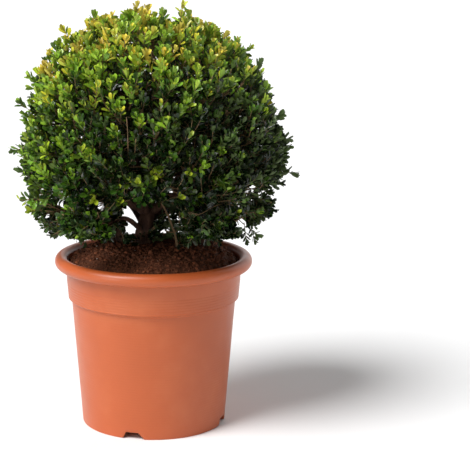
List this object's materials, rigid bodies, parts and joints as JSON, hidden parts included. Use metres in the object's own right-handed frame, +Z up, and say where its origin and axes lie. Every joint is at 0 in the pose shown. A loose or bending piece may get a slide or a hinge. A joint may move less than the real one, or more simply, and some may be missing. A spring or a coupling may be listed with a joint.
{
  "type": "box topiary ball",
  "caption": "Evergreen box shrub clipped to a ball, with bare stems rising from heaped soil in a round terracotta-coloured plastic pot with a rolled rim.",
  "frame": {"origin": "on the level of the pot's foot, under the middle of the pot", "axes": "+Z up along the pot's axis, -Y towards the front of the plant, +X to the right seen from the front"},
  "size_m": [0.4675, 0.4664, 0.689],
  "materials": {
    "pot_plastic": "satin terracotta-coloured moulded plastic",
    "potting_soil": "dark moist peat with reddish fibres",
    "bark": "rough reddish brown bark",
    "twig_bark": "smooth tan bark of young twigs",
    "leaves": "glossy green box leaves"
  },
  "bodies": {
    "root": {"pot": "pot_plastic", "soil": "potting_soil", "trunk": "bark", "stem_left": "bark", "stem_right": "bark", "stem_front": "twig_bark", "bough_front": "bark", "bough_front_left": "bark", "bough_back_left": "bark", "bough_back": "bark", "bough_right": "bark", "low_bough_left": "bark", "low_bough_front_left": "bark", "low_bough_front_right": "bark", "low_bough_right": "bark", "low_bough_back_right": "bark", "low_bough_back_left": "bark", "crown": "leaves", "skirt_left": "leaves", "skirt_front_left": "leaves", "skirt_front_right": "leaves", "skirt_right": "leaves", "skirt_back_right": "leaves", "skirt_back_left": "leaves"}
  },
  "joints": []
}
